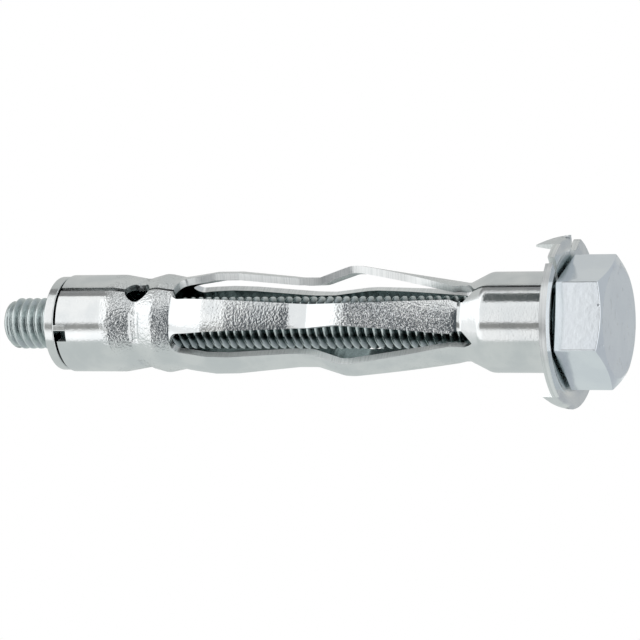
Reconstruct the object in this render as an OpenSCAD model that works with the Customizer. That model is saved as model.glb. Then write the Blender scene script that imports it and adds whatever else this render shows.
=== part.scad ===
// Hollow wall anchor: a hexagon-head screw runs through a slotted sheet sleeve
// and into a flanged nut that is held in the sleeve's far end. Turning the screw
// pulls the nut towards the collar and folds the five legs out behind the board.
// The axis is Z. The head's outer face lies at z = 0 and the screw's tip points up.
// Angles are measured from the sleeve's seam, which lies towards +X.

/* [Screw] */
// Outer diameter of the thread
thread_d = 6; // [5:0.1:7.2]
// Length of the screw that stands out past the nut
tip_out = 6.7; // [3:0.1:20]
// Length of the chamfer at the tip
tip_chamfer = 0.9; // [0.3:0.1:1.5]
// Width of the head across its flats
head_af = 13; // [12:0.1:16]
// Height of the head, without its washer face
head_h = 5.3; // [4:0.05:8]
// Diameter of the round washer face under the head
washer_d = 11.6; // [8:0.1:11.8]
// Height of the washer face
washer_h = 0.2; // [0.1:0.05:0.6]
// Running gap between the washer face and the collar
head_gap = 0.05; // [0.02:0.01:0.3]
// Slope of the chamfer on the head's outer corners
head_chamfer_slope = 30; // [15:1:35]
// Angle of one of the head's flats from the seam
head_turn = 21; // [0:1:60]

/* [Sheet and collar] */
// Thickness of the sleeve's sheet
sheet_t = 0.8; // [0.5:0.05:1]
// Depth of the seat that is pressed into the collar for the head
seat_depth = 0.55; // [0.1:0.05:0.8]
// Length of the slope round the seat, measured out from the axis
seat_run = 0.6; // [0.5:0.05:1]
// Distance from the head's corners out to the bottom of that slope, at mid sheet
seat_room = 0.2; // [0.1:0.05:1]
// Width of the flat rim round the seat, at mid sheet
rim_w = 1.25; // [1.1:0.05:4]
// Bend radius between the collar and the barrel, at mid sheet
collar_bend = 0.9; // [0.6:0.1:1.5]
// Width of the slit along the seam
seam_w = 0.25; // [0.1:0.05:0.6]
// Width of the slit where it crosses the collar
collar_slit_w = 0.7; // [0.3:0.1:2]
// Angle of the notch in the collar's rim
notch_at = 49.5; // [20:0.5:160]
// Width of the notch at the rim
notch_w = 2.6; // [1:0.1:5]
// Depth of the notch
notch_depth = 1.4; // [0.5:0.1:3]
// Angle of the sharp edge of the long claw
long_claw_at = 6.5; // [5:0.5:60]
// Length of the long claw past the collar
long_claw_l = 2.9; // [1:0.1:5]
// Angle of the sharp edge of the short claw
short_claw_at = -99.5; // [-170:0.5:-60]
// Length of the short claw past the collar
short_claw_l = 1.7; // [0.5:0.1:5]
// Width of each claw at its root, as an angle round the rim
claw_span = 36; // [15:1:40]

/* [Barrel and necks] */
// Outer diameter of the barrel that fills the drilled hole
barrel_d = 11.2; // [9.3:0.1:13.5]
// Length of the barrel, from the outer face of the collar's rim
barrel_l = 9.3; // [5:0.1:30]
// Length of the shoulder that draws the barrel in to its neck
shoulder_l = 2.8; // [2:0.1:5]
// Gap between the screw and the sleeve at that neck
neck_gap = 0.6; // [0.3:0.05:1]
// Distance from that neck to the slots' pointed ends
slot_tip_back = 1.6; // [1:0.1:1.8]
// Height of the bead past the slots' round ends
bead_rise = 0.07; // [0:0.01:0.4]
// Depth of the crimped neck that stops the nut
crimp_depth = 0.47; // [0.3:0.01:0.8]
// Width of the hole on the seam at the crimped neck, across its flats
seam_hole_w = 3; // [1:0.1:3.5]

/* [Legs] */
// Number of legs
leg_n = 5; // [4:1:6]
// Distance from the neck to the crest of the outer hump
outer_run = 13.8; // [10:0.1:24]
// Distance between the crests of the two humps
hump_pitch = 15.2; // [12.5:0.1:24]
// Distance from the crest of the inner hump to the slots' round ends
inner_run = 5.5; // [4.5:0.1:10]
// Distance from the crest of the outer hump to the waist
waist_run = 5.4; // [4:0.1:7]
// Length of the flattened crest of the outer hump
outer_crest_l = 2; // [1:0.1:3]
// Length of the flattened crest of the inner hump
inner_crest_l = 2.8; // [1:0.1:4]
// Length of the straight waist between the humps
waist_l = 1.6; // [1:0.1:3]
// Height of the outer hump over the barrel
outer_rise = 0.78; // [0.2:0.01:2]
// Depth of the waist under the barrel
waist_drop = 0.45; // [0.1:0.01:0.8]
// Height of the inner hump over the barrel
inner_rise = 0.28; // [0:0.01:1.5]
// Depth of the groove at the slots' round ends
groove_drop = 0.34; // [0.1:0.01:0.8]
// Width of a leg at the groove
leg_root_w = 3.9; // [3:0.1:4.7]
// Width of a leg at the crest of the inner hump
leg_inner_w = 3.7; // [2.5:0.1:4.4]
// Width of a leg at the waist
leg_waist_w = 2.7; // [2:0.1:3.6]
// Width of a leg at the crest of the outer hump
leg_outer_w = 2.4; // [1.6:0.1:4]
// Width of a leg where it widens again towards the collar
leg_foot_w = 3.6; // [3:0.1:4.3]
// Width of the weakened fold beside the neck
leg_fold_w = 3; // [2:0.1:3.7]
// Radius of the slots' round ends
slot_end_r = 1; // [0.4:0.1:1.2]

/* [Nut] */
// Length of the sleeve that holds the nut
nut_barrel_l = 7.3; // [6:0.1:12]
// Room in that length in front of the nut's body
nut_room = 0.7; // [0.6:0.1:2]
// How far the edge of the nut's flange stands inside the barrel's diameter
flange_inset = 0.18; // [0:0.01:0.5]
// Thickness of the nut's flange
flange_t = 1.35; // [0.8:0.05:3]
// Gap between the flange and the end of the sleeve
flange_gap = 0.15; // [0.05:0.05:0.3]
// Gap between the nut's body and the sleeve
nut_gap = 0.04; // [0.02:0.01:0.2]
// Running gap between the screw and the nut's bore
thread_gap = 0.05; // [0.02:0.01:0.09]
// Angle of the first lug that stops the nut from turning
lug_at = -50.5; // [-90:0.5:-20]
// Width of a lug
lug_w = 0.65; // [0.4:0.05:1.5]
// Length of a lug, and depth of the sleeve's slot for it
lug_l = 1.2; // [0.5:0.1:2]
// Width left open beside a lug
lug_play = 1.1; // [0.2:0.1:2]

/* [Hidden] */

$fn = 96;
zinc = [0.80, 0.82, 0.83];
over = 1;               // how far a cutter runs past what it cuts
arc_step = 15;          // turn of one facet on a bend of the sheet
bend_r = 1.1;           // common bend radius of the sheet, at mid sheet
crest_bend_r = 2.2;     // bend radius at the crests of the humps
seat_bend_r = 0.7;      // bend radius round the collar's seat
neck_flat = 0.8;        // straight length at the bottom of the neck
bead_run = 1.8;         // distance from the groove to the bead
crimp_run = 2.9;        // distance from the bead to the bottom of the crimped neck
crimp_flat = 0.5;       // straight length at the bottom of the crimped neck
nut_run = 2.3;          // distance from there to the straight end of the sleeve
fold_l = 0.9;           // length of the weakened fold
foot_run = 0.9;         // distance from the fold to the full width of the leg
tip_half_w = 0.12;      // half width of a slot at its very ends
hole_squash = 1.12;     // the seam hole's length, as a share of its width
claw_inset = 0.2;       // how far a claw stands inside the collar's rim
claw_lean = 0.7;        // how far a claw's point leans from its sharp edge
claw_point_w = 0.2;     // width left at a claw's point
notch_tip_w = 0.4;      // width of the notch at its bottom
nut_chamfer = 0.5;      // chamfer on the nut's body
lug_n = 2;              // lugs round the nut
face_share = 0.94;      // round outer face of the head, as a share of the width across flats
wedge_r_in = 1.5;       // inner radius of a slot's cutter
tip_taper = 0.75;       // radius at the screw's tip, as a share of the thread's

face_z = head_h + washer_h + head_gap - seat_depth;     // outer face of the collar's rim
seat_r = head_af / sqrt(3) + seat_room;
collar_r = seat_r + seat_run + rim_w;
barrel_r = barrel_d / 2;
wall_r = barrel_r - sheet_t / 2;           // mid sheet of the barrel
neck_r = thread_d / 2 + neck_gap + sheet_t / 2;
bore_r = barrel_r - sheet_t;
flange_r = barrel_r - flange_inset;
nut_l = nut_barrel_l - nut_room;           // the nut's body inside the sleeve

// Distances along the axis from the outer face of the collar's rim
neck_z = barrel_l + shoulder_l;
outer_z = neck_z + outer_run;
inner_z = outer_z + hump_pitch;
waist_z = outer_z + waist_run;
groove_z = inner_z + inner_run;
bead_z = groove_z + bead_run;
crimp_z = bead_z + crimp_run;
nut_barrel_z = crimp_z + nut_run;
sleeve_l = nut_barrel_z + nut_barrel_l;
flange_z = sleeve_l + flange_gap;
tip_z = flange_z + flange_t + tip_out;

// Mid line of the collar's sheet, from its rim to the barrel: [radius, distance, bend radius]
collar_path = [
    [collar_r, sheet_t / 2, 0],
    [seat_r + seat_run, sheet_t / 2, seat_bend_r],
    [seat_r, sheet_t / 2 + seat_depth, seat_bend_r],
    [wall_r, sheet_t / 2 + seat_depth, collar_bend]
];

// Mid line of the rolled sheet, from the barrel to the nut end: [radius, distance, bend radius]
barrel_path = [
    [wall_r, barrel_l, bend_r],
    [neck_r, neck_z - neck_flat / 2, bend_r],
    [neck_r, neck_z + neck_flat / 2, bend_r],
    [wall_r + outer_rise, outer_z - outer_crest_l / 2, crest_bend_r],
    [wall_r + outer_rise, outer_z + outer_crest_l / 2, crest_bend_r],
    [wall_r - waist_drop, waist_z - waist_l / 2, crest_bend_r],
    [wall_r - waist_drop, waist_z + waist_l / 2, crest_bend_r],
    [wall_r + inner_rise, inner_z - inner_crest_l / 2, crest_bend_r],
    [wall_r + inner_rise, inner_z + inner_crest_l / 2, crest_bend_r],
    [wall_r - groove_drop, groove_z, bend_r],
    [wall_r + bead_rise, bead_z, bend_r],
    [wall_r - crimp_depth, crimp_z - crimp_flat / 2, bend_r],
    [wall_r - crimp_depth, crimp_z + crimp_flat / 2, bend_r],
    [wall_r, nut_barrel_z, bend_r],
    [wall_r, sleeve_l, 0]
];

// Width of a leg along the slots: [distance, leg width]
leg_widths = [
    [neck_z - fold_l / 2, leg_fold_w],
    [neck_z + fold_l / 2, leg_fold_w],
    [neck_z + fold_l / 2 + foot_run, leg_foot_w],
    [outer_z, leg_outer_w],
    [waist_z, leg_waist_w],
    [inner_z, leg_inner_w],
    [groove_z - 2 * slot_end_r, leg_root_w]
];

function unit(v) = v / norm(v);
function turned(v, a) = [v[0] * cos(a) - v[1] * sin(a), v[0] * sin(a) + v[1] * cos(a)];
function point(corner) = [corner[0], corner[1]];

// Points of the arc of radius r that rounds corner p between its neighbours a and b
function bend(a, p, b, r) =
    let (
        u = unit(a - p),
        w = unit(b - p),
        open = acos(u * w),
        centre = p + unit(u + w) * r / sin(open / 2),
        first = p + u * r / tan(open / 2) - centre,
        last = p + w * r / tan(open / 2) - centre,
        steps = ceil((180 - open) / arc_step)
    )
    [for (i = [0:steps]) centre + turned(first, sign(cross(first, last)) * (180 - open) * i / steps)];

// The corners of a path, with every bend rounded
function rounded(path) = [
    for (i = [0:len(path) - 1])
        each path[i][2] == 0
            ? [point(path[i])]
            : bend(point(path[i - 1]), point(path[i]), point(path[i + 1]), path[i][2])
];

// Step across the line at its point i, one unit measured square to the line
function across(line, i) =
    let (
        before = unit(line[max(i, 1)] - line[max(i, 1) - 1]),
        after = i == len(line) - 1 ? before : unit(line[i + 1] - line[i]),
        mean = unit(before + after)
    )
    turned(mean, 90) / (mean * before);

// Outline of a sheet of thickness t along a line
function sheet_outline(line, t) = concat(
    [for (i = [0:len(line) - 1]) line[i] + across(line, i) * t / 2],
    [for (i = [len(line) - 1:-1:0]) line[i] - across(line, i) * t / 2]
);

// Mid radius of the sleeve's sheet at a distance from the rim's outer face, past the barrel
function sheet_r(z) = lookup(z, [for (p = barrel_path) [p[1], p[0]]]);
function arc_angle(width, radius) = width / radius * 180 / PI;
function slot_half(z, leg_w) = 180 / leg_n - arc_angle(leg_w, sheet_r(z)) / 2;

// Cross cuts of one slot, from its pointed end to its round end: [distance, half angle]
function slot_cuts() = concat(
    [[neck_z - slot_tip_back, arc_angle(tip_half_w, neck_r)]],
    [for (s = leg_widths) [s[0], slot_half(s[0], s[1])]],
    [for (a = [30:25:80]) [
        groove_z - slot_end_r * (1 - sin(a)),
        slot_half(groove_z, leg_root_w) * cos(a)
    ]]
);

// Wedge about the axis through the cuts, so that it leaves radial edges in the sheet
module slot_wedge(cuts, r_in, r_out) {
    corners = [
        for (c = cuts, side = [[r_in, -1], [r_out, -1], [r_out, 1], [r_in, 1]])
            [side[0] * cos(c[1]), side[0] * side[1] * sin(c[1]), c[0]]
    ];
    top = 4 * (len(cuts) - 1);
    walls = [
        for (i = [0:4:top - 1], j = [0:3])
            let (k = (j + 1) % 4)
            each [[i + j, i + 4 + j, i + 4 + k], [i + j, i + 4 + k, i + k]]
    ];
    polyhedron(corners, concat([[0, 1, 2, 3], [top + 3, top + 2, top + 1, top]], walls));
}

// The slots that part the legs
module slots() {
    for (k = [0:leg_n - 1])
        rotate([0, 0, 360 / leg_n * k])
            slot_wedge(slot_cuts(), wedge_r_in, collar_r);
}

// The slit where the rolled sheet's edges meet, wider across the collar
module seam() {
    translate([0, -seam_w / 2, -over])
        cube([collar_r + over, seam_w, sleeve_l + 2 * over]);
    translate([wall_r, -collar_slit_w / 2, -over])
        cube([collar_r, collar_slit_w, sheet_t + seat_depth + over]);
}

// Six-sided hole on the seam at the crimped neck
module seam_hole() {
    translate([0, 0, crimp_z])
        rotate([90, 0, 90])
            linear_extrude(collar_r)
                polygon([for (a = [0:60:300])
                    seam_hole_w / sqrt(3) * [cos(a + 30), hole_squash * sin(a + 30)]]);
}

// V-shaped notch in the collar's rim
module rim_notch() {
    rotate([0, 0, notch_at])
        translate([collar_r, 0, -over])
            linear_extrude(sheet_t + 2 * over)
                polygon([
                    [-notch_depth, -notch_tip_w / 2],
                    [over, -notch_w / 2],
                    [over, notch_w / 2],
                    [-notch_depth, notch_tip_w / 2]
                ]);
}

// Pointed claw turned out of the rim; way is the side that its long slope falls to
module claw(at, length, way) {
    half_w = collar_r * sin(claw_span / 2);
    top = sheet_t + length;
    rotate([0, 0, at + way * claw_span / 2])
        intersection() {
            rotate([0, 0, -claw_span])
                rotate_extrude(angle = 2 * claw_span)
                    translate([collar_r - sheet_t - claw_inset, sheet_t / 2])
                        square([sheet_t, length + over]);
            mirror([0, way < 0 ? 1 : 0, 0])
                rotate([90, 0, 90])
                    linear_extrude(collar_r + over)
                        polygon([
                            [-half_w, 0],
                            [-half_w + claw_lean, top],
                            [-half_w + claw_lean + claw_point_w, top],
                            [half_w, 0]
                        ]);
        }
}

// Slots in the sleeve's end, each for one lug of the nut with room left beside it
module lug_slots() {
    for (k = [0:lug_n - 1])
        rotate([0, 0, lug_at + 360 / lug_n * k])
            translate([0, -lug_w / 2 - lug_play, sleeve_l - lug_l])
                cube([barrel_r + over, lug_w + lug_play + nut_gap, lug_l + over]);
}

// Rolled and folded sheet: collar, claws, barrel, humped legs and the seat of the nut
module expansion_sleeve() {
    color(zinc)
        translate([0, 0, face_z])
            difference() {
                union() {
                    rotate_extrude()
                        polygon(sheet_outline(rounded(concat(collar_path, barrel_path)), sheet_t));
                    claw(long_claw_at, long_claw_l, 1);
                    claw(short_claw_at, short_claw_l, -1);
                }
                slots();
                seam();
                seam_hole();
                rim_notch();
                lug_slots();
            }
}

// Nut with a round flange that covers the sleeve's end, and lugs that keep it from turning
module threaded_nut() {
    body_r = bore_r - nut_gap;
    hole_r = thread_d / 2 + thread_gap;
    color(zinc)
        translate([0, 0, face_z])
            difference() {
                union() {
                    translate([0, 0, sleeve_l - nut_l])
                        cylinder(h = nut_chamfer, r1 = body_r - nut_chamfer, r2 = body_r);
                    translate([0, 0, sleeve_l - nut_l + nut_chamfer])
                        cylinder(h = nut_l - nut_chamfer + flange_gap, r = body_r);
                    translate([0, 0, flange_z])
                        cylinder(h = flange_t, r = flange_r);
                    for (k = [0:lug_n - 1])
                        rotate([0, 0, lug_at + 360 / lug_n * k])
                            translate([body_r - sheet_t, -lug_w / 2, sleeve_l - lug_l + nut_gap])
                                cube([sheet_t + flange_r - body_r - nut_gap, lug_w, lug_l + flange_gap]);
                }
                translate([0, 0, sleeve_l - nut_l - over])
                    cylinder(h = nut_l + flange_gap + flange_t + 2 * over, r = hole_r);
            }
}

// Head with its outer corners chamfered and a round washer face below it
module screw_head() {
    face_r = head_af * face_share / 2;
    corner_r = head_af / sqrt(3);
    slope = tan(head_chamfer_slope);
    intersection() {
        rotate([0, 0, head_turn + 30])
            cylinder(h = head_h, r = corner_r, $fn = 6);
        union() {
            cylinder(h = (corner_r - face_r) * slope, r1 = face_r, r2 = corner_r);
            translate([0, 0, (corner_r - face_r) * slope])
                cylinder(h = head_h, r = corner_r + over);
        }
    }
    translate([0, 0, head_h])
        cylinder(h = washer_h, d = washer_d);
}

// Hexagon-head screw, standing on its head; the shank stands for the crests of the thread
module hex_screw() {
    shank_r = thread_d / 2;
    color(zinc) {
        screw_head();
        cylinder(h = face_z + tip_z - tip_chamfer, r = shank_r);
        translate([0, 0, face_z + tip_z - tip_chamfer])
            cylinder(h = tip_chamfer, r1 = shank_r, r2 = shank_r * tip_taper);
    }
}

expansion_sleeve();
threaded_nut();
hex_screw();
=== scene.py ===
import bpy
import numpy as np
from mathutils import Matrix, Vector


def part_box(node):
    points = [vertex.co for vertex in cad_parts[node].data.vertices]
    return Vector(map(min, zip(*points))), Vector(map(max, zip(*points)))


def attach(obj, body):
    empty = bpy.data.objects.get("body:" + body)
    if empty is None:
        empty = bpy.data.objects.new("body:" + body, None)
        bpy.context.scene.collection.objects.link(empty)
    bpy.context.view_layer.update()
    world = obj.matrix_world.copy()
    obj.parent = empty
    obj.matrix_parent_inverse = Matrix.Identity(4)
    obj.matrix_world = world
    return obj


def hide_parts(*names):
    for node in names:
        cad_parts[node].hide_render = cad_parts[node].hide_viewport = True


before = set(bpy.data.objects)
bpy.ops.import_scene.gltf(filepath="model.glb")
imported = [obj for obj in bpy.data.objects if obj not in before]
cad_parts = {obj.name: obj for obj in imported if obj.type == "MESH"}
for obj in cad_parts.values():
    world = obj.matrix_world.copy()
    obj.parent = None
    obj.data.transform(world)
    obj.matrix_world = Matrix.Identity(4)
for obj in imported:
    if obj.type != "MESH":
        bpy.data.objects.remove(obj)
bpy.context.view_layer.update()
mm = 0.001

# Lengths are in millimetres and angles in degrees, unless a note says otherwise. Angles run round the
# axis from the sleeve's seam, which lies towards +X. The sleeve's heights run along the axis from its
# lowest point, and the screw's from the outer face of its head.
sleeveLow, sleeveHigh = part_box("expansion_sleeve")
faceZ = sleeveLow.z / mm
sleeveLength = (sleeveHigh.z - sleeveLow.z) / mm
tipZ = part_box("hex_screw")[1].z / mm
print("frame loaded: collar face at", round(faceZ, 3), "mm, sleeve", round(sleeveLength, 2), "mm long")

camera = {
    "seamTurn": 44.5,       # the seam lies this far above the side that faces the camera
    "distance": 350.0,      # from the axis
    "below": 108.35,        # under the head's outer face
    "aside": 0.3,           # towards the top of the picture
    "lookUp": 22.313,       # between the line of sight and the level plane
    "roll": -0.15,
    "lens": 188.3,
    "sensor": 36.0,
    "near": 0.01,           # metres, as the next one
    "far": 20.0,
}


def sideways(angle):  # unit vector square to the axis, at an angle from the seam
    return np.array([np.cos(np.radians(angle)), np.sin(np.radians(angle)), 0.0])


toViewer = sideways(-camera["seamTurn"])
imageUp = sideways(90 - camera["seamTurn"])
axisUp = np.array([0.0, 0.0, 1.0])


# The camera stands below the head, looks up along the sleeve, and lies on its side, so that the axis runs
# level across the picture with the head to the right.
def placeCamera():
    tilt, roll = np.radians(camera["lookUp"]), np.radians(camera["roll"])
    forward = -np.cos(tilt) * toViewer + np.sin(tilt) * axisUp
    right = -(np.cos(tilt) * axisUp + np.sin(tilt) * toViewer)
    up = np.cos(roll) * imageUp - np.sin(roll) * right
    right = np.cross(forward, up)
    place = (camera["distance"] * toViewer - camera["below"] * axisUp + camera["aside"] * imageUp) * mm
    data = bpy.data.cameras.new("camera")
    data.lens, data.sensor_width = camera["lens"], camera["sensor"]
    data.clip_start, data.clip_end = camera["near"], camera["far"]
    eye = bpy.data.objects.new("camera", data)
    eye.matrix_world = Matrix([
        [right[0], up[0], -forward[0], place[0]],
        [right[1], up[1], -forward[1], place[1]],
        [right[2], up[2], -forward[2], place[2]],
        [0, 0, 0, 1],
    ])
    bpy.context.scene.collection.objects.link(eye)
    bpy.context.scene.camera = eye
    print("camera placed")


placeCamera()
bpy.context.scene.view_settings.view_transform = "Standard"


# Faces of a grid of points: each takes the four points round a cell, in the order that turns the face
# outwards when the columns run anticlockwise round the axis and the rows run up.
def gridFaces(rows, columns):
    index = np.arange(rows * columns).reshape(rows, columns)
    return np.stack([index[:-1, :-1], index[:-1, 1:], index[1:, 1:], index[1:, :-1]], -1).reshape(-1, 4)


keysPerMm = 2e4     # points that round to the same key are welded


# Welds grids: equal points become one, cells with one collapsed side become triangles, and cells with no
# area go.
def weldGrids(points, faces, values=None):
    keys = np.round(points * keysPerMm).astype(np.int64)
    _, first, where = np.unique(keys, axis=0, return_index=True, return_inverse=True)
    corners = where.reshape(-1)[faces]
    same = corners == np.roll(corners, -1, axis=1)
    folded = (corners[:, 0] == corners[:, 2]) | (corners[:, 1] == corners[:, 3])
    quads = corners[(same.sum(1) == 0) & ~folded]
    collapsed = same.sum(1) == 1
    triangles = corners[collapsed][~same[collapsed]].reshape(-1, 3)
    return points[first], quads.tolist() + triangles.tolist(), None if values is None else values[first]


# Adds a mesh object whose origin is the frame's own, from points in millimetres.
def addPiece(name, points, faces, attributes=None):
    mesh = bpy.data.meshes.new(name)
    mesh.from_pydata((points * mm).tolist(), [], faces)
    for label, values in (attributes or {}).items():
        mesh.attributes.new(label, "FLOAT", "POINT").data.foreach_set("value", values.astype(np.float32))
    mesh.shade_smooth()
    piece = bpy.data.objects.new(name, mesh)
    bpy.context.scene.collection.objects.link(piece)
    return piece


def roundEdges(piece, width, turn, segments):  # rounds the edges that turn by more than an angle
    bevel = piece.modifiers.new("edges", "BEVEL")
    bevel.width, bevel.segments = width * mm, segments
    bevel.limit_method, bevel.angle_limit = "ANGLE", np.radians(turn)
    bevel.harden_normals = True
    bevel.miter_outer = "MITER_ARC"


def smoothStep(low, high, value):  # from 0 at low to 1 at high: three shares squared less two cubed
    share = np.clip((value - low) / (high - low), 0, 1)
    return share * share * (3 - 2 * share)


# Fades in from the first of four ends to the second, and out from the third to the fourth.
def fadeOver(value, ends):
    return smoothStep(ends[0], ends[1], value) * smoothStep(ends[3], ends[2], value)


# Even points of a line whose corners [radius, height, bend radius] are rounded by arcs: each arc starts
# and ends where it touches the straight parts, at bend radius times the tangent of half the turn from the
# corner.
def roundedLine(corners, step, arcStep=1.5):
    places = np.array([corner[:2] for corner in corners], float)
    bends = [corner[2] for corner in corners[1:-1]]
    line = [places[0]]
    for before, here, after, bend in zip(places[:-2], places[1:-1], places[2:], bends):
        toBefore = (before - here) / np.linalg.norm(before - here)
        toAfter = (after - here) / np.linalg.norm(after - here)
        turn = np.pi - np.arccos(toBefore @ toAfter)
        reach = bend * np.tan(turn / 2)
        inward = toBefore + toAfter
        centre = here + inward / np.linalg.norm(inward) * bend / np.cos(turn / 2)
        start, end = here + toBefore * reach - centre, here + toAfter * reach - centre
        side = np.sign(start[0] * end[1] - start[1] * end[0])
        angles = side * np.linspace(0, turn, max(int(np.degrees(turn) / arcStep), 4))
        line.extend(centre + np.stack([
            start[0] * np.cos(angles) - start[1] * np.sin(angles),
            start[0] * np.sin(angles) + start[1] * np.cos(angles),
        ], -1))
    line = np.array([*line, places[-1]])
    run = np.concatenate([[0], np.cumsum(np.linalg.norm(np.diff(line, axis=0), axis=1))])
    even = np.linspace(0, run[-1], int(run[-1] / step))
    return np.stack([np.interp(even, run, line[:, 0]), np.interp(even, run, line[:, 1])], -1)


sleeve = {
    "sheet": 0.8,
    "collarRadius": 9.545,      # mid sheet, as all radii here
    "collarBend": 0.9,
    "rimHeight": 0.28,          # the flat rim's outer face
    "seatHeight": 0.55,         # outer face of the seat that is pressed into the collar for the head
    "seatRadius": 7.71,
    "seatRun": 0.6,
    "seatBend": 0.7,
    "wallRadius": 5.2,
    "barrelLength": 9.3,
    "neckRadius": 4.0,
    "neck": 12.1,
    "outerCrest": 25.5,
    "waist": 30.9,
    "innerCrest": 41.1,
    "groove": 46.8,
    "bead": 48.9,
    "crimp": 51.3,
    "nutBarrel": 54.4,
    "neckFlat": 0.3,            # half of the straight stretch at each of these heights
    "outerFlat": 0.55,
    "waistFlat": 1.2,
    "innerFlat": 1.4,
    "crimpFlat": (0.25, 0.4),   # below the crimp's height and above it
    "outerRise": 0.78,          # rises and drops from the wall's radius
    "waistDrop": 0.45,
    "innerRise": 0.28,
    "grooveDrop": 0.34,
    "beadRise": 0.07,
    "crimpDepth": 0.47,
    "bend": 1.1,
    "crestBend": 2.2,
    "nutBend": 2.6,
    "legs": 5,
    "legWidths": [              # height and width
        (11.65, 3.0), (12.55, 3.0), (13.45, 3.6), (25.9, 2.4), (31.3, 2.7), (41.1, 3.5), (44.6, 3.8),
    ],
    "legSkew": {1: 0.27, 3: 0.5},   # share of a slot by which a leg leans to the side, by the leg's number
    "slotTip": 10.5,
    "slotTipShare": 0.12,       # share of its full width that a slot has at its pointed end
    "slotEndRadius": 1.0,
    # A zone is a share, and the four heights where it starts, is full, starts to end and ends, each as an
    # offset from a named height.
    "flatZones": [
        (0.75, ("neck", 1.0), ("outerCrest", -2.0), ("waist", -3.0), ("waist", 3.0)),
        (0.25, ("waist", -3.0), ("waist", 3.0), ("groove", -1.8), ("groove", 0.4)),
    ],
    "strainZones": [
        (1.0, ("neck", 0.2), ("neck", 1.4), ("outerCrest", 0.0), ("waist", -2.0)),
        (0.55, ("waist", 0.0), ("waist", 3.0), ("innerCrest", -2.0), ("groove", 0.0)),
        (1.0, ("groove", -0.4), ("groove", 0.6), ("nutBarrel", -0.4), ("nutBarrel", 1.4)),
    ],
    "leastStrain": 0.04,
    "seamGap": 0.25,
    "nutSeamGap": 0.4,
    "collarGap": 0.7,
    "collarGapFrom": 0.3,       # past the wall's radius
    "collarGapHeight": 3.0,
    "holeHalfLength": 1.65,     # the long hole in the seam at the crimp
    "holeHalfWidth": 1.35,
    "holeFullness": 0.62,       # 0.5 is an ellipse, and less is nearer a rectangle
    "seamPress": {"heights": (52.6, 53.8), "arc": (0.75, 0.95), "depth": 0.05},
    "mark": {                   # one of the marks pressed into the crimp, one to each leg
        "angle": 22.8, "height": 51.2, "halfWidth": 1.6, "halfLength": 0.7, "corner": 0.25,
        "fade": 0.1, "depth": 0.16,
    },
    "markRows": (-0.15, -0.05, 0.05, 0.15),     # from each end of a mark
    "notch": (42.5, 43.5, 54.0, 62.0),  # angles where the notch starts, is deepest, rises again and ends
    "notchDepth": 1.5,
    "apronStart": 6.9,          # radius from which the collar's rows follow its edge
    "apronRows": 22,
    "rimStart": 8.6,            # radius at which the claws leave the flat rim
    "claws": [                  # way is the side that the long slope falls to
        {"from": 16.0, "to": 41.0, "height": 2.8, "way": 1},
        {"from": -134.0, "to": -103.0, "height": 1.7, "way": -1},
    ],
    "clawRadius": 9.14,
    "clawBend": 0.35,
    "clawFoot": 0.25,           # height of the slope's low end
    "clawMerge": 0.8,           # share of the width past which a claw sinks into the rim
    "clawLeast": 0.02,          # least straight run past the bend
    "clawLean": 0.5,
    "clawTaper": 0.75,          # share of the sheet that is gone at a claw's point
    "clawRows": 14,
    "lugAngle": -50.5,          # the second lug lies opposite
    "lugSlot": (-1.425, 0.365),     # from and to, across the sleeve from the lug's middle
    "lugDepth": 1.2,
    "pathStep": 0.01,
    "rowStep": 0.34,
    "rowHair": 1e-6,            # by which a row may miss the height it stands for
    "bendStep": 4.0,            # degrees of bend to a row
    "roundEndStep": 12.857,     # degrees of a slot's round end to a row
    "holeStep": 15.0,
    "smoothing": 9,             # points of the path over which the bend is averaged
    "columns": 26,              # in a leg's share of the circle
    "thicknessSteps": 20,
    "edgeRound": 0.11,
    "edgeTurn": 50.0,
}


# Middle of the sheet, from the nut's end to the collar's edge: straight stretches joined by bends.
def sleevePath():
    wall, bend, crest = sleeve["wallRadius"], sleeve["bend"], sleeve["crestBend"]
    inner, outer, waist = wall + sleeve["innerRise"], wall + sleeve["outerRise"], wall - sleeve["waistDrop"]
    crimp, half = wall - sleeve["crimpDepth"], sleeve["sheet"] / 2
    seatEdge = sleeve["seatRadius"] + sleeve["seatRun"]
    return roundedLine([
        [wall, sleeveLength, 0],
        [wall, sleeve["nutBarrel"], sleeve["nutBend"]],
        [crimp, sleeve["crimp"] + sleeve["crimpFlat"][1], bend],
        [crimp, sleeve["crimp"] - sleeve["crimpFlat"][0], bend],
        [wall + sleeve["beadRise"], sleeve["bead"], bend],
        [wall - sleeve["grooveDrop"], sleeve["groove"], bend],
        [inner, sleeve["innerCrest"] + sleeve["innerFlat"], crest],
        [inner, sleeve["innerCrest"] - sleeve["innerFlat"], crest],
        [waist, sleeve["waist"] + sleeve["waistFlat"], crest],
        [waist, sleeve["waist"] - sleeve["waistFlat"], crest],
        [outer, sleeve["outerCrest"] + sleeve["outerFlat"], crest],
        [outer, sleeve["outerCrest"] - sleeve["outerFlat"], crest],
        [sleeve["neckRadius"], sleeve["neck"] + sleeve["neckFlat"], bend],
        [sleeve["neckRadius"], sleeve["neck"] - sleeve["neckFlat"], bend],
        [wall, sleeve["barrelLength"], bend],
        [wall, half + sleeve["seatHeight"], sleeve["collarBend"]],
        [sleeve["seatRadius"], half + sleeve["seatHeight"], sleeve["seatBend"]],
        [seatEdge, half + sleeve["rimHeight"], sleeve["seatBend"]],
        [sleeve["collarRadius"], half + sleeve["rimHeight"], 0],
    ], sleeve["pathStep"])


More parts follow.
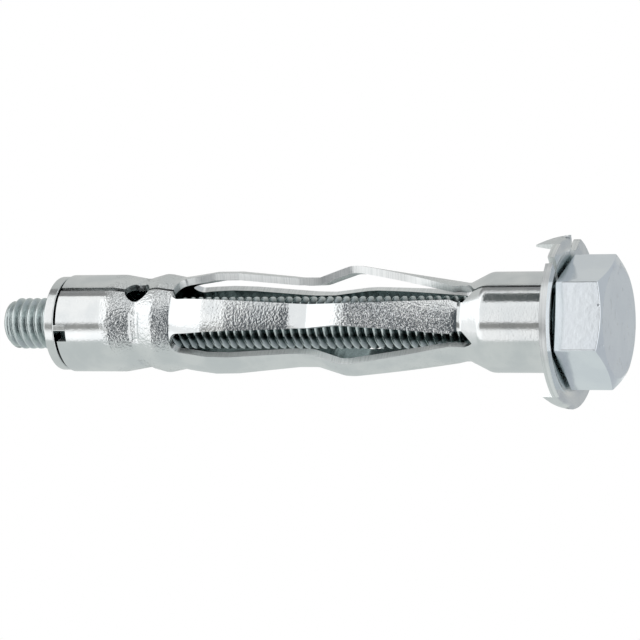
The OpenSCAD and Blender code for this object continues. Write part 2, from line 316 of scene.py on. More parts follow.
# Heights that need a row of their own, because a cut or a mark starts or ends there.
def cutHeights():
    roundEnd = np.sin(np.radians(np.arange(0, 91, sleeve["roundEndStep"])))
    hole = np.cos(np.radians(np.arange(0, 181, sleeve["holeStep"])))
    mark, tip = sleeve["mark"], sleeve["slotTip"]
    markEnds = mark["height"] + mark["halfLength"] * np.array([[-1], [1]])
    return np.concatenate([
        sleeve["groove"] - sleeve["slotEndRadius"] * (1 - roundEnd),
        sleeve["crimp"] + sleeve["holeHalfLength"] * hole,
        (markEnds + np.array(sleeve["markRows"])).reshape(-1),
        [height for height, width in sleeve["legWidths"]],
        [tip, tip + sleeve["markRows"][0], sleeveLength - sleeve["lugDepth"]],
    ])


# Rows along the path, as places in it: closer together where it bends, and one at each cut height.
def sleeveRows(path):
    window = sleeve["smoothing"]
    step = np.diff(path, axis=0)
    heading = np.unwrap(np.arctan2(step[:, 0], step[:, 1]))
    turn = np.convolve(np.abs(np.gradient(heading)), np.ones(window) / window, "same")
    length = np.linalg.norm(step, axis=1)
    density = np.cumsum(np.maximum(length / sleeve["rowStep"], turn / np.radians(sleeve["bendStep"])))
    even = np.linspace(density[0], density[-1], int(density[-1]))
    rows = np.interp(even, density, np.arange(len(density)) + 0.5)
    rows[0], rows[-1] = 0, len(path) - 1
    cuts = np.interp(-cutHeights(), -path[:, 1], np.arange(len(path)))
    near = np.abs(rows[:, None] - cuts[None, :]).min(1) < window
    near[0] = near[-1] = False
    return np.unique(np.concatenate([rows[~near], cuts]))


# Half of the angle that a slot leaves open at each height: what is left of a leg's share of the circle
# beside the leg's width, closing as half an ellipse at the round end and as a wedge at the pointed one.
def slotHalf(height, radius):
    share = 180 / sleeve["legs"]
    known = np.array(sleeve["legWidths"])
    width = np.interp(height, known[:, 0], known[:, 1])
    half = share - np.degrees(width / radius) / 2
    start = sleeve["groove"] - sleeve["slotEndRadius"]
    into = np.clip((height - start) / sleeve["slotEndRadius"], 0, 1)
    half = half * np.sqrt(1 - into ** 2)
    tip, full, least = sleeve["slotTip"], known[0, 0], sleeve["slotTipShare"]
    wedge = np.clip((height - tip) / (full - tip), 0, 1)
    half = half * np.where(height < full, least * (wedge > 0) + (1 - least) * wedge, 1)
    return np.where((height > sleeve["groove"]) | (height < tip), 0, half)


# Half of the seam's gap as an angle: its width there over the radius, opened at the crimp by a long round
# hole.
def seamHalf(height, radius):
    onCollar = radius > sleeve["wallRadius"] + sleeve["collarGapFrom"]
    gap = np.where(onCollar, sleeve["collarGap"] / 2, sleeve["seamGap"] / 2)
    onWall = np.where(height > sleeve["crimp"], sleeve["nutSeamGap"], sleeve["seamGap"]) / 2
    gap = np.where(height > sleeve["collarGapHeight"], onWall, gap)
    into = np.clip(1 - ((height - sleeve["crimp"]) / sleeve["holeHalfLength"]) ** 2, 0, 1)
    return np.degrees(np.maximum(gap, sleeve["holeHalfWidth"] * into ** sleeve["holeFullness"]) / radius)


def roundDistance(x, y, halfX, halfY, corner):  # distance outside a rectangle with round corners
    outX, outY = np.abs(x) - halfX + corner, np.abs(y) - halfY + corner
    return np.hypot(np.maximum(outX, 0), np.maximum(outY, 0)) + np.minimum(np.maximum(outX, outY), 0) - corner


# How far the pressed details move the sheet along the radius: inwards on one side of the nut's seam, and
# inwards over the crimp marks, one to each leg.
def pressedDetail(height, angle, radius):
    press, mark, turn = sleeve["seamPress"], sleeve["mark"], 360 / sleeve["legs"]
    fromSeam = np.radians(np.abs((angle + 180) % 360 - 180)) * radius
    byNut = smoothStep(*press["heights"], height) * (angle < 0) * smoothStep(*press["arc"][::-1], fromSeam)
    fromMark = np.radians((angle - mark["angle"] + turn / 2) % turn - turn / 2) * radius
    size = mark["halfWidth"], mark["halfLength"], mark["corner"]
    outside = roundDistance(fromMark, height - mark["height"], *size)
    onMark = smoothStep(mark["fade"], -mark["fade"], outside)
    return -press["depth"] * byNut - mark["depth"] * onMark


def zoneShares(height, zones):  # each zone's share at each height
    heights = [[sleeve[name] + offset for name, offset in ends] for share, *ends in zones]
    return [zone[0] * fadeOver(height, ends) for zone, ends in zip(zones, heights)]


def legFlatness(height):  # from 0 where a leg is as round as the sleeve to 1 for a flat strip
    return sum(zoneShares(height, sleeve["flatZones"]))


# Stretch of the sheet's skin: rough where a leg was drawn into its humps, nearly smooth on the rolled
# barrels.
def skinStrain(height):
    return np.maximum(np.maximum.reduce(zoneShares(height, sleeve["strainZones"])), sleeve["leastStrain"])


def lugSlots():  # angles where the slot for each lug of the nut starts and ends
    sides = np.degrees(np.array(sleeve["lugSlot"]) / sleeve["wallRadius"])
    return [lug + sides for lug in (sleeve["lugAngle"], sleeve["lugAngle"] + 180)]


# Angles of the cuts in a leg's share of the circle: its own two ends, and the sides of lug slots, claws
# and notch.
def sectorCuts(low, high):
    cuts = [low, high, *np.concatenate(lugSlots()), *sleeve["notch"]]
    cuts += [claw[end] for claw in sleeve["claws"] for end in ("from", "to")]
    return sorted({cut for cut in cuts if low <= cut <= high})


# Collar from the seat to its edge. Row by row it runs along the path; the notch shortens that run, from
# nothing at its sides to its full depth at its bottom.
def collarRows(angle, apron):
    run = np.arange(len(apron)) * sleeve["pathStep"]
    toRim = np.interp(sleeve["rimStart"], apron[:, 0], run)
    share = np.concatenate([
        np.linspace(0, toRim, sleeve["apronRows"])[1:],
        np.linspace(toRim, run[-1], sleeve["clawRows"] + 1)[1:],
    ])[:, None]
    depth = sleeve["notchDepth"] * np.interp(angle, sleeve["notch"], [0, 1, 1, 0])
    edge = np.interp(sleeve["collarRadius"] - depth, apron[:, 0], run)
    along = share * edge / run[-1]
    return np.interp(along, run, apron[:, 0]), np.interp(along, run, apron[:, 1])


# Claw: past the rim's start the sheet turns up through a quarter circle and then runs straight along the
# axis, as far as a slope that falls from the point to nothing over the claw's width. The point leans
# towards the slope.
def raiseClaw(angle, radius, height, thickness, claw):
    rows, bend, start = sleeve["clawRows"], sleeve["clawBend"], sleeve["rimStart"]
    along = (angle[-rows:] - claw["from"]) / (claw["to"] - claw["from"])
    along = along if claw["way"] > 0 else 1 - along
    top = sleeve["clawFoot"] + (claw["height"] - sleeve["clawFoot"]) * (1 - along)
    flat, arc = sleeve["clawRadius"] - bend - start, bend * np.pi / 2
    run = np.linspace(0, 1, rows + 1)[1:, None] * (flat + arc + np.maximum(top - bend, sleeve["clawLeast"]))
    bent = np.clip((run - flat) / bend, 0, np.pi / 2)
    keep = smoothStep(1.0, sleeve["clawMerge"], along)
    rise = keep * (bend * (1 - np.cos(bent)) + np.maximum(run - flat - arc, 0))
    out = start + np.minimum(run, flat) + bend * np.sin(bent)
    lean = sleeve["clawLean"] * rise / claw["height"] * (1 - along)
    radius[-rows:] += keep * (out - radius[-rows:])
    height[-rows:] += rise
    angle[-rows:] += claw["way"] * np.degrees(lean / sleeve["clawRadius"])
    thickness[-rows:] = 1 - sleeve["clawTaper"] * np.clip(rise / claw["height"], 0, 1)


# One block of a leg's share of the circle, between two cuts, down the whole path. A row follows the path
# to one height; along it the angle runs over the leg's width at that height. On a leg the radius is that
# of a flat strip: the strip's distance over the cosine of the angle from the leg's middle. That distance
# keeps the strip's mean radius at the sleeve's.
def legBlock(cuts, centre, halves, radius, height, apron):
    share = 180 / sleeve["legs"]
    count = max(int(round(sleeve["columns"] * (cuts[1] - cuts[0]) / (2 * share))), 1) + 1
    across = (np.linspace(*cuts, count) - centre)[None, :] / share
    lean, half = (halves[1] - halves[0]) / 2, (halves[1] + halves[0]) / 2
    angle = centre + lean + across * half
    strip = radius / (1 + np.radians(half) ** 2 / 6) / np.cos(np.radians(angle - centre - lean))
    bent = radius + legFlatness(height) * (strip - radius) + pressedDetail(height, angle, radius)
    rimAngle = angle[-1:] + np.zeros((sleeve["apronRows"] - 1 + sleeve["clawRows"], 1))
    rimRadius, rimHeight = collarRows(rimAngle, apron)
    rimThickness = 1 + 0 * rimRadius
    for claw in sleeve["claws"]:
        if claw["from"] < sum(cuts) / 2 < claw["to"]:
            raiseClaw(rimAngle, rimRadius, rimHeight, rimThickness, claw)
    level = 0 * angle
    block = [(angle, rimAngle), (bent, rimRadius), (height + level, rimHeight), (1 + level, rimThickness)]
    return [np.concatenate(parts) for parts in block]


# Gives the sheet its thickness, by a vertex group that thins the claws in even steps. The cut edges and
# the inside take the second and the third material.
def thickenSheet(piece, thickness):
    steps = sleeve["thicknessSteps"]
    group = piece.vertex_groups.new(name="thickness")
    level = np.round(thickness * steps).astype(int)
    for value in np.unique(level):
        group.add(np.flatnonzero(level == value).tolist(), float(value) / steps, "REPLACE")
    wall = piece.modifiers.new("sheet", "SOLIDIFY")
    wall.thickness, wall.offset = sleeve["sheet"] * mm, 0.0
    wall.vertex_group = "thickness"
    wall.material_offset_rim, wall.material_offset = 1, 2


# The sheet's middle, as blocks of grid between the edges of slots, claws, notch and lug slots, then
# thickened.
def makeSleeve():
    path = sleevePath()
    split = int(np.argmax(path[:, 0] > sleeve["apronStart"]))
    rows = sleeveRows(path[:split + 1])
    radius, height = [np.interp(rows, np.arange(len(path)), path[:, part])[:, None] for part in (0, 1)]
    slot, seam = slotHalf(height, radius), seamHalf(height, radius)
    lugRow = np.searchsorted(-height[:, 0], -(sleeveLength - sleeve["lugDepth"]) - sleeve["rowHair"])
    share = 180 / sleeve["legs"]
    points, faces, skins, total = [], [], [], 0
    for leg in range(sleeve["legs"]):
        centre = (2 * leg - sleeve["legs"]) * share
        low, high = centre - share, centre + share
        skew = sleeve["legSkew"].get(leg, 0)
        lowHalf = share - np.maximum(slot * (1 + skew), seam if abs(low) < 1 else 0)
        highHalf = share - np.maximum(slot * (1 - skew), seam if abs(high) < 1 else 0)
        cuts = sectorCuts(low, high)
        for pair in zip(cuts[:-1], cuts[1:]):
            block = legBlock(pair, centre, (lowHalf, highHalf), radius, height, path[split:])
            angle, at, up, thickness = block
            turn = np.radians(angle)
            grid = np.stack([at * np.cos(turn), at * np.sin(turn), up + faceZ], -1)
            cells = gridFaces(*angle.shape)[:, ::-1]
            if any(first < sum(pair) / 2 < last for first, last in lugSlots()):
                cells = cells[np.arange(len(cells)) // (angle.shape[1] - 1) >= lugRow]
            points.append(grid.reshape(-1, 3))
            faces.append(cells + total)
            skins.append(np.stack([skinStrain(up), thickness], -1).reshape(-1, 2))
            total += len(points[-1])
    points, faces, skin = weldGrids(np.concatenate(points), np.concatenate(faces), np.concatenate(skins))
    piece = addPiece("slotted_sleeve", points, faces, {"strain": skin[:, 0]})
    thickenSheet(piece, skin[:, 1])
    roundEdges(piece, sleeve["edgeRound"], sleeve["edgeTurn"], 2)
    print("sleeve made:", len(points), "points in the sheet's middle")
    return piece


screw = {
    "threadRadius": 2.96,
    "pitch": 1.0,
    "profile": [    # along one pitch from a crest's middle, and depth under the crest
        (0.0, 0.0), (0.06, 0.0), (0.1, 0.05), (0.38, 0.53), (0.45, 0.6),
        (0.5, 0.61), (0.55, 0.6), (0.62, 0.53), (0.9, 0.05), (0.94, 0.0),
    ],
    "stepsPerTurn": 56,
    "sink": 0.1,                # length of the thread inside the head
    "closing": (0.92, 0.5, 0.0),    # shares of the end's radius, over which both ends are closed
    "fullShadeDepth": 0.5,           # depth under the crest at which the painted shade is full
    "tipStart": 67.5,           # height from which the thread's painted shade is weaker
    "tipShare": 0.35,
    "tipRadius": 2.5,
    "tipChamfer": 0.8,
    "acrossFlats": 13.0,
    "headHeight": 5.3,
    "headTurn": 21.0,
    "cornerRound": 0.3,
    "flatSteps": 17,
    "cornerSteps": 7,
    "faceShare": 0.94,          # share of the flats' distance that the flat outer face takes
    "chamferSlope": 22.0,
    "washerRadius": 5.8,
    "washerHeight": 0.2,
    "holeRadius": 3.2,          # ring round the shank, on the washer face
    "edgeRound": 0.12,
    "edgeTurn": 15.0,
}


# Thread: a point at angle a and profile share b stands at height pitch * (a / turn + b), so the columns
# rise with the angle and the last one meets the first one a pitch higher. Both ends are cut level and
# closed.
def makeThread():
    pitch, crest, tipRadius = screw["pitch"], screw["threadRadius"], screw["tipRadius"]
    profile = np.array(screw["profile"])
    start, end = faceZ - screw["sink"], tipZ
    turns = int(np.ceil((end - start) / pitch)) + 2
    along = (np.arange(-1, turns)[:, None] + profile[None, :, 0]).reshape(-1, 1)
    angle = np.arange(screw["stepsPerTurn"] + 1)[None, :] / screw["stepsPerTurn"]
    height = np.clip(start + pitch * (along + angle), start, end)
    phase = ((height - start) / pitch - angle) % 1
    depth = np.interp(phase, np.append(profile[:, 0], 1), np.append(profile[:, 1], 0))
    chamfer = tipRadius + np.maximum(end - height, 0) * (crest - tipRadius) / screw["tipChamfer"]
    radius = np.minimum(crest - depth, chamfer)
    # Painted shade: the colour darkens with depth under the crest, and less from tipStart on towards the tip.
    shadeWeight = np.where(height < screw["tipStart"], 1, screw["tipShare"]) * (height < end)
    paintedShade = np.clip(depth / screw["fullShadeDepth"], 0, 1) * shadeWeight
    closing = np.array(screw["closing"])[:, None]
    level = 0 * closing * angle
    paintedShade = np.concatenate([level, paintedShade, level])
    radius = np.concatenate([closing[::-1] * radius[:1], radius, closing * radius[-1:]])
    height = np.concatenate([start + level, height, end + level])
    turn = 2 * np.pi * angle + 0 * radius
    grid = np.stack([radius * np.cos(turn), radius * np.sin(turn), height], -1)
    points, faces, paintedShade = weldGrids(grid.reshape(-1, 3), gridFaces(*radius.shape), paintedShade.reshape(-1))
    piece = addPiece("screw_thread", points, faces, {"paintedShade": paintedShade})
    print("thread made:", len(points), "points")
    return piece


# Radius of a hexagon with round corners at each angle: the flat's distance over the cosine of the angle
# from its middle, and near a corner the far side of the rounding circle.
def hexagonRadius(angle, flat, rounding, touch):
    fromFlat = np.abs((angle + 30) % 60 - 30)
    straight = flat / np.cos(np.radians(fromFlat))
    circle = (flat - rounding) / np.cos(np.radians(30))
    off = np.radians(30 - fromFlat)
    curved = circle * np.cos(off) + np.sqrt(np.maximum(rounding ** 2 - (circle * np.sin(off)) ** 2, 0))
    return np.where(fromFlat > touch, curved, straight)


# Head: rings round the axis, from the middle of the outer face out over the chamfer cone, up the flats
# and in over the washer face to the shank.
def makeHead():
    flat, rounding = screw["acrossFlats"] / 2, screw["cornerRound"]
    touch = np.degrees(np.arctan((flat - rounding) * np.tan(np.radians(30)) / flat))
    side = np.concatenate([
        np.linspace(-touch, touch, screw["flatSteps"]),
        np.linspace(touch, 60 - touch, screw["cornerSteps"])[1:-1],
    ])
    angle = np.append((side[None, :] + 60 * np.arange(6)[:, None]).reshape(-1), 360 - touch)
    edge = hexagonRadius(angle, flat, rounding, touch)
    face = flat * screw["faceShare"]
    cone = (edge - face) * np.tan(np.radians(screw["chamferSlope"]))
    under, top = screw["headHeight"], screw["headHeight"] + screw["washerHeight"]
    level = 0 * edge
    rings = np.array([
        [level, level],
        [level + face / 2, level],
        [level + face, level],
        [face + (edge - face) / 2, cone / 2],
        [edge, cone],
        [edge, cone / 2 + under / 2],
        [edge, level + under],
        [level + screw["washerRadius"], level + under],
        [level + screw["washerRadius"], level + top],
        [level + screw["holeRadius"], level + top],
        [level, level + top],
    ])
    radius, height = rings[:, 0], rings[:, 1]
    turn = np.radians(angle + screw["headTurn"])[None, :] + 0 * radius
    grid = np.stack([radius * np.cos(turn), radius * np.sin(turn), height], -1)
    points, faces, _ = weldGrids(grid.reshape(-1, 3), gridFaces(*radius.shape))
    piece = addPiece("screw_head", points, faces)
    roundEdges(piece, screw["edgeRound"], screw["edgeTurn"], 3)
    print("head made")
    return piece


nut = {
    "length": 6.6,
    "bodyRadius": 4.76,
    "chamfer": 0.5,
    "boreRadius": 3.05,
    "mouth": 0.3,               # chamfer at the bore's outer end
    "flangeRadius": 5.42,
    "flangeHeight": 1.18,
    "flangeGap": 0.42,          # between the flange and the sleeve's end
    "undercutRadius": 3.7,
    "undercutDepth": 1.3,       # inside the sleeve
    "undercutRimShade": 0.6,            # share of the undercut's painted shade at its rim
    "lugWidth": 0.65,
    "lugLength": 1.2,
    "lugGap": 0.04,
    "lugRoot": 0.2,             # how far a lug runs into the undercut's core
    "lugLap": 0.1,              # and into the flange
    "steps": 96,
    "edgeRound": 0.14,
    "edgeTurn": 30.0,
}


# A lug follows the round of the sleeve: the six sides of a box whose corners are [radius, angle, height].
def lugBlock(radii, angles, heights):
    radius, angle, height = np.meshgrid(radii, np.radians(angles), heights, indexing="ij")
    points = np.stack([radius * np.cos(angle), radius * np.sin(angle), height], -1).reshape(-1, 3)
    ends = [[0, 1, 3, 2], [4, 6, 7, 5]]
    sides = [[0, 4, 5, 1], [2, 3, 7, 6], [0, 2, 6, 4], [1, 5, 7, 3]]
    return points, np.array(ends + sides)


# Nut: a closed profile [radius, height, painted shade] carried round the axis, with two lugs in the
# sleeve's slots. The painted shade darkens the undercut at the sleeve's end.
def makeNut():
    end = faceZ + sleeveLength
    front, under = end - nut["length"], end + nut["flangeGap"]
    top = under + nut["flangeHeight"]
    bore, body, flange = nut["boreRadius"], nut["bodyRadius"], nut["flangeRadius"]
    core, deep = nut["undercutRadius"], end - nut["undercutDepth"]
    profile = np.array([
        [bore, front, 0],
        [body - nut["chamfer"], front, 0],
        [body, front + nut["chamfer"], 0],
        [body, deep, nut["undercutRimShade"]],
        [core, deep, 1],
        [core, under, 1],
        [flange, under, 0],
        [flange, top, 0],
        [bore + nut["mouth"], top, 0],
        [bore, top - nut["mouth"], 0],
        [bore, front, 0],
    ])
    turn = np.linspace(0, 2 * np.pi, nut["steps"] + 1)[None, :]
    radius, height, shadeWeight = [profile[:, part, None] + 0 * turn for part in range(3)]
    grid = np.stack([radius * np.cos(turn), radius * np.sin(turn), height], -1)
    points, faces, shades = [grid.reshape(-1, 3)], [gridFaces(*radius.shape)], [shadeWeight.reshape(-1)]
    half, gap = np.degrees(nut["lugWidth"] / 2 / body), nut["lugGap"]
    for lug in (sleeve["lugAngle"], sleeve["lugAngle"] + 180):
        heights = [end - nut["lugLength"] + gap, under + nut["lugLap"]]
        block, sides = lugBlock([core - nut["lugRoot"], flange - gap], [lug - half, lug + half], heights)
        faces.append(sides + sum(len(part) for part in points))
        points.append(block)
        shades.append(np.zeros(len(block)))
    points, faces, shade = weldGrids(np.concatenate(points), np.concatenate(faces), np.concatenate(shades))
    piece = addPiece("flanged_nut", points, faces, {"paintedShade": shade})
    roundEdges(piece, nut["edgeRound"], nut["edgeTurn"], 3)
    print("nut made")
    return piece


class Socket:  # a node's output that takes part in Python expressions
    def __init__(self, finish, socket):
        self.finish = finish
        self.socket = socket

    def maths(self, operation, *others):
        return self.finish.node("ShaderNodeMath", {"operation": operation}, [self, *others])

    def __add__(self, other):
        return self.maths("ADD", other)

    def __sub__(self, other):
        return self.maths("SUBTRACT", other)

    def __rsub__(self, other):
        return self.maths("MULTIPLY_ADD", -1.0, other)

    def __mul__(self, other):
        return self.maths("MULTIPLY", other)

    __radd__ = __add__
    __rmul__ = __mul__

    def above(self, low, high):  # 0 under low and 1 over high
        settings = {"interpolation_type": "SMOOTHSTEP"}
        return self.finish.node("ShaderNodeMapRange", settings, [self, low, high, 0.0, 1.0])


class Finish:  # a material or a world, and its nodes
    def __init__(self, owner):
        owner.use_nodes = True
        self.owner = owner
        self.tree = owner.node_tree
        self.tree.nodes.clear()

    # A node of any type: its settings first, then its sockets' values or links, by number or by name.
    def node(self, kind, settings=None, values=(), output=0):
        made = self.tree.nodes.new(kind)
        for key, value in (settings or {}).items():
            setattr(made, key, value)
        for key, value in (values.items() if isinstance(values, dict) else enumerate(values)):
            if isinstance(value, Socket):
                self.tree.links.new(value.socket, made.inputs[key])
            else:
                made.inputs[key].default_value = value
        return Socket(self, made.outputs[output])

    def attribute(self, name):
        return self.node("ShaderNodeAttribute", {"attribute_name": name}, output="Fac")

    def blend(self, share, first, second):  # from the first colour at 0 to the second at 1
        first, second = [colour if isinstance(colour, Socket) else (*colour, 1) for colour in (first, second)]
        return self.node("ShaderNodeMix", {"data_type": "RGBA"}, {0: share, 6: first, 7: second}, output=2)

    def mixShader(self, share, first, second):
        return self.node("ShaderNodeMixShader", {}, [share, first, second])

    def metal(self, colour, roughness, relief):  # relief is a height in millimetres
        skin = self.node("ShaderNodeBump", {}, {"Height": relief, "Distance": mm, "Strength": 1.0})
        return self.node("ShaderNodeBsdfPrincipled", {}, {
            "Base Color": colour, "Metallic": 1.0, "Roughness": roughness, "Normal": skin,
        })

    def show(self, shader, kind="ShaderNodeOutputMaterial"):
        self.tree.links.new(shader.socket, self.tree.nodes.new(kind).inputs["Surface"])
        return self.owner


zinc = {    # grain is the size of the skin's pebbles, and the depths are those of grain, strain and pits
    "sleeve": {
        "light": (0.86, 0.88, 0.88), "dark": (0.76, 0.79, 0.80), "roughness": 0.13,
        "grain": 0.27, "depth": 0.004, "strainDepth": 0.085,
    },
    # The groove tone is painted shade: the sleeve's inner face and the seat under the head take it inside the
    # given radius.
    "inside": {
        "light": (0.86, 0.88, 0.88), "dark": (0.76, 0.79, 0.80), "roughness": 0.2,
        "grain": 0.4, "depth": 0.006, "groove": (0.23, 0.29, 0.29), "grooveRadius": (7.1, 7.8),
    },
    # The nut's darkest tone is painted shade for its undercut at the sleeve's end.
    "nut": {
        "light": (0.83, 0.85, 0.85), "dark": (0.74, 0.77, 0.77), "roughness": 0.16,
        "grain": 0.4, "depth": 0.008, "paintedShade": (0.06, 0.08, 0.08),
    },
    "head": {
        "light": (0.91, 0.96, 1.0), "dark": (0.86, 0.91, 0.96), "roughness": 0.16,
        "grain": 0.7, "depth": 0.006, "pitDepth": 0.05, "pitHeight": (0.2, 0.6),
    },
    # The thread's darkest tone is painted shade for its roots.
    "thread": {
        "light": (0.78, 0.85, 0.85), "dark": (0.60, 0.67, 0.67), "roughness": 0.22,
        "grain": 0.4, "depth": 0.008, "paintedShade": (0.05, 0.08, 0.08),
    },
}

plating = {     # what all the zinc has in common; scales are waves to a metre
    "patchScale": 260.0,
    "patchFade": (0.35, 0.65),
    "roughnessDrift": 0.06,
    "pitScale": 900.0,
    "pitFade": (0.6, 0.68),
}


# Zinc plating: a metal whose colour drifts between two tones in soft patches, under a fine pebbled skin.
# Where the sheet was stretched, its grain stands out deeper. Painted shade darkens the colour inside a given
# radius, and in the thread's roots and the nut's undercut, and the head's outer face is pitted.
def zincFinish(name, look):
    finish = Finish(bpy.data.materials.new(name))
    place = finish.node("ShaderNodeTexCoord", output="Object")
    patches = finish.node("ShaderNodeTexNoise", {}, {
        "Vector": place, "Scale": plating["patchScale"], "Detail": 3.0,
    })
    grain = finish.node("ShaderNodeTexNoise", {}, {
        "Vector": place, "Scale": 1000 / look["grain"], "Detail": 2.0, "Roughness": 0.5,
    })
    relief = grain * look["depth"]
    colour = finish.blend(patches.above(*plating["patchFade"]), look["dark"], look["light"])
    # Painted shade: inside the given radius the colour turns to the dark groove tone, on the sleeve's inner
    # face and the seat under the head.
    if "groove" in look:
        aside = finish.node("ShaderNodeVectorMath", {"operation": "MULTIPLY"}, [place, (1, 1, 0)])
        radius = finish.node("ShaderNodeVectorMath", {"operation": "LENGTH"}, [aside], output=1)
        low, high = look["grooveRadius"]
        colour = finish.blend(radius.above(low * mm, high * mm), look["groove"], colour)
    # Painted shade: the darkest tone goes where the thread's roots and the nut's undercut lie in shade.
    if "paintedShade" in look:
        colour = finish.blend(finish.attribute("paintedShade"), colour, look["paintedShade"])
    if "strainDepth" in look:
        relief = grain * (look["depth"] + finish.attribute("strain") * look["strainDepth"])
    if "pitDepth" in look:
        pits = finish.node("ShaderNodeTexNoise", {}, {
            "Vector": place, "Scale": plating["pitScale"], "Detail": 2.0,
        })
        height = finish.node("ShaderNodeSeparateXYZ", {}, [place], output=2)
        low, high = look["pitHeight"]
        outer = 1 - height.above(low * mm, high * mm)
        relief = relief - pits.above(*plating["pitFade"]) * outer * look["pitDepth"]
    rough = look["roughness"] + plating["roughnessDrift"] * (patches - 0.5)
    return finish.show(finish.metal(colour, rough, relief))


cutEdge = {
    "light": (0.95, 0.97, 0.97),
    "dark": (0.78, 0.81, 0.81),
    "roughness": 0.3,
    "streak": 0.14,             # width of a streak
    "across": 60.0,             # waves to a metre, square to the axis
    "fade": (0.3, 0.62),
    "depth": 0.008,
}


# Sheared edge of the sheet: streaks that run across it, from noise that is drawn out along the radius.
def cutEdgeFinish(name, look):
    finish = Finish(bpy.data.materials.new(name))
    place = finish.node("ShaderNodeTexCoord", output="Object")
    scale = (look["across"], look["across"], 1000 / look["streak"])
    along = finish.node("ShaderNodeMapping", {}, {"Vector": place, "Scale": scale})
    streaks = finish.node("ShaderNodeTexNoise", {}, {
        "Vector": along, "Scale": 1.0, "Detail": 3.0, "Roughness": 0.65,
    })
    colour = finish.blend(streaks.above(*look["fade"]), look["dark"], look["light"])
    return finish.show(finish.metal(colour, look["roughness"], streaks * look["depth"]))


sleeveZinc = zincFinish("sleeve_zinc", zinc["sleeve"])
edgeZinc = cutEdgeFinish("cut_edge_zinc", cutEdge)
insideZinc = zincFinish("inside_zinc", zinc["inside"])
nutZinc = zincFinish("nut_zinc", zinc["nut"])
screwZinc = zincFinish("screw_zinc", zinc["head"])
threadZinc = zincFinish("thread_zinc", zinc["thread"])
print("finishes made")


def dress(piece, materials, body, node):  # materials, and what the frame has to know
    for material in materials:
        piece.data.materials.append(material)
    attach(piece, body)
    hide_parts(node)


dress(makeSleeve(), [sleeveZinc, edgeZinc, insideZinc], "anchor", "expansion_sleeve")
dress(makeThread(), [threadZinc], "screw", "hex_screw")
dress(makeHead(), [screwZinc], "screw", "hex_screw")
dress(makeNut(), [nutZinc], "anchor", "threaded_nut")
print("pieces made and dressed")


objectMiddle = np.array([0.0, 0.0, tipZ / 2])


# Turn is round the axis, from the side that faces the camera, and rise is above the level plane.
def direction(turn, rise):
    turn, rise = np.radians(turn)[..., None], np.radians(rise)[..., None]
    return np.cos(rise) * (np.cos(turn) * toViewer + np.sin(turn) * imageUp) + np.sin(rise) * axisUp


# Grey cards stand round the object in a white room, each a patch of a sphere. Over its turns and its
# rises a card fades in from the first number to the second, and out from the third to the fourth. The
# metal shows the cards; the camera and the floor don't see them.
cards = {
    "lensCard": {"turn": (-56, -42, 30, 45), "rise": (-14, -8, 13, 16), "level": (0.07, 0.08, 0.09)},
    "stripeCard": {"turn": (-18, -13, -3, 2), "rise": (8, 16, 28, 36), "level": (0.28, 0.28, 0.27)},
    "collarCard": {"turn": (46, 49, 68, 71), "rise": (4, 12, 20, 23), "level": (0.05, 0.06, 0.06)},
    "seamCard": {"turn": (72, 78, 92, 98), "rise": (4, 12, 40, 60), "level": (0.25, 0.25, 0.25)},
    "upperCard": {"turn": (86, 98, 187, 188), "rise": (-22, -12, 55, 75), "level": (0.57, 0.58, 0.57)},
    "lowerCard": {"turn": (-172, -169, -44, -41), "rise": (-22, -12, 55, 75), "level": (0.61, 0.64, 0.63)},
    "belowCard": {"turn": (60, 80, 280, 300), "rise": (-91, -90, -13, -3), "level": (0.47, 0.49, 0.51)},
}
cardDistance = 1500.0
cardSpacing = 20.0      # each card stands this far behind the one before


# The card's points stand at even turns and rises, and its cover is the product of the two fades: clear at
# 0 and glowing evenly at 1.
def makeCard(name, card, distance, columns=49, rows=33):
    turns = np.linspace(card["turn"][0], card["turn"][3], columns)
    rises = np.linspace(card["rise"][0], card["rise"][3], rows)
    turn, rise = np.meshgrid(turns, rises)
    grid = objectMiddle + distance * direction(turn, rise)
    fade = fadeOver(turn, card["turn"]) * fadeOver(rise, card["rise"])
    points, faces, cover = weldGrids(grid.reshape(-1, 3), gridFaces(*turn.shape), fade.reshape(-1))
    patch = addPiece(name, points, faces, {"cover": cover})
    finish = Finish(bpy.data.materials.new(name))
    clear = finish.node("ShaderNodeBsdfTransparent")
    grey = finish.node("ShaderNodeEmission", {}, {"Color": (*card["level"], 1), "Strength": 1.0})
    patch.data.materials.append(finish.show(finish.mixShader(finish.attribute("cover"), clear, grey)))
    finish.owner.cycles.emission_sampling = "NONE"
    patch.visible_camera = patch.visible_shadow = patch.visible_diffuse = False


for number, (cardName, card) in enumerate(cards.items()):
    makeCard(cardName, card, cardDistance + cardSpacing * number)

softboxes = {
    "mainSoftbox": {"turn": 34, "rise": 52, "distance": 900, "width": 900, "height": 620, "radiance": 0.35},
    "fillSoftbox": {"turn": -30, "rise": 40, "distance": 1000, "width": 300, "height": 700, "radiance": 0.2},
}


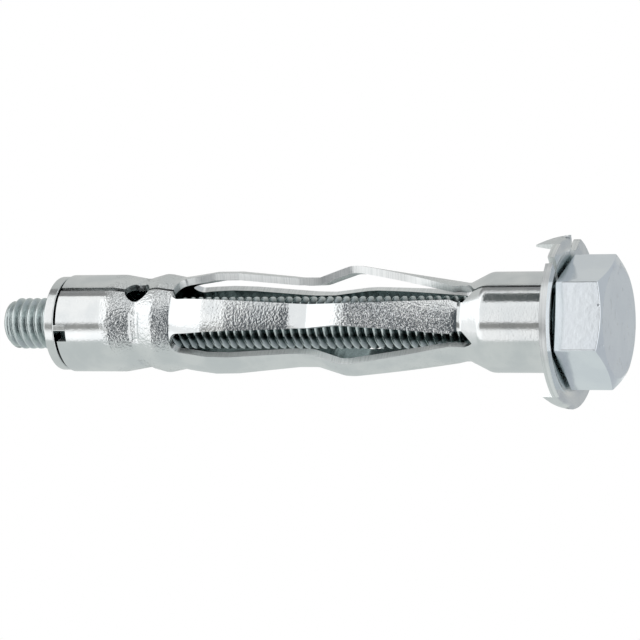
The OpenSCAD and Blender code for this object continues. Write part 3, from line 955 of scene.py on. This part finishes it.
# A softbox gives the same radiance over its whole face: power is pi * area * radiance.
def makeSoftbox(name, box):
    data = bpy.data.lights.new(name, "AREA")
    data.shape, data.size, data.size_y = "RECTANGLE", box["width"] * mm, box["height"] * mm
    data.energy = np.pi * data.size * data.size_y * box["radiance"]
    lamp = bpy.data.objects.new(name, data)
    away = Vector(direction(box["turn"], box["rise"]))
    lamp.location = Vector(objectMiddle * mm) + away * box["distance"] * mm
    lamp.rotation_mode = "QUATERNION"
    lamp.rotation_quaternion = away.to_track_quat("Z", "Y")
    lamp.visible_camera = False
    bpy.context.scene.collection.objects.link(lamp)


for boxName, box in softboxes.items():
    makeSoftbox(boxName, box)

floor = {
    "level": -0.4,          # just under the head
    "half": 900.0,
    "colour": (0.9, 0.9, 0.9, 1),
}


# The camera sees the floor from above, with the object's shadow. The floor lets everything else through,
# so that the object can be seen and lit from below as well.
def makeFloor():
    half = floor["half"]
    corners = np.array([
        [x, y, floor["level"]] for x, y in ((-half, -half), (half, -half), (half, half), (-half, half))
    ])
    piece = addPiece("floor", corners, [[0, 1, 2, 3]])
    finish = Finish(bpy.data.materials.new("floor"))
    cameraRay = finish.node("ShaderNodeLightPath", output="Is Camera Ray")
    fromBelow = finish.node("ShaderNodeNewGeometry", output="Backfacing")
    clear = finish.node("ShaderNodeBsdfTransparent")
    pale = finish.node("ShaderNodeBsdfDiffuse", {}, {"Color": floor["colour"]})
    piece.data.materials.append(finish.show(finish.mixShader(cameraRay * (1 - fromBelow), clear, pale)))


makeFloor()

softLight = 0.62        # the room's strength on what isn't metal


# White room: the camera, the metal and anything clear see it at full white, and it lights the rest more
# softly.
def makeRoom():
    world = bpy.data.worlds.new("room")
    bpy.context.scene.world = world
    finish = Finish(world)
    cameraRay = finish.node("ShaderNodeLightPath", output="Is Camera Ray")
    glossyRay = finish.node("ShaderNodeLightPath", output="Is Glossy Ray")
    clearRay = finish.node("ShaderNodeLightPath", output="Is Transmission Ray")
    bright = cameraRay.maths("MAXIMUM", glossyRay).maths("MAXIMUM", clearRay)
    soft = finish.node("ShaderNodeBackground", {}, {"Color": (1, 1, 1, 1), "Strength": softLight})
    white = finish.node("ShaderNodeBackground", {}, {"Color": (1, 1, 1, 1), "Strength": 1.0})
    finish.show(finish.mixShader(bright, soft, white), "ShaderNodeOutputWorld")


makeRoom()
print("studio set")
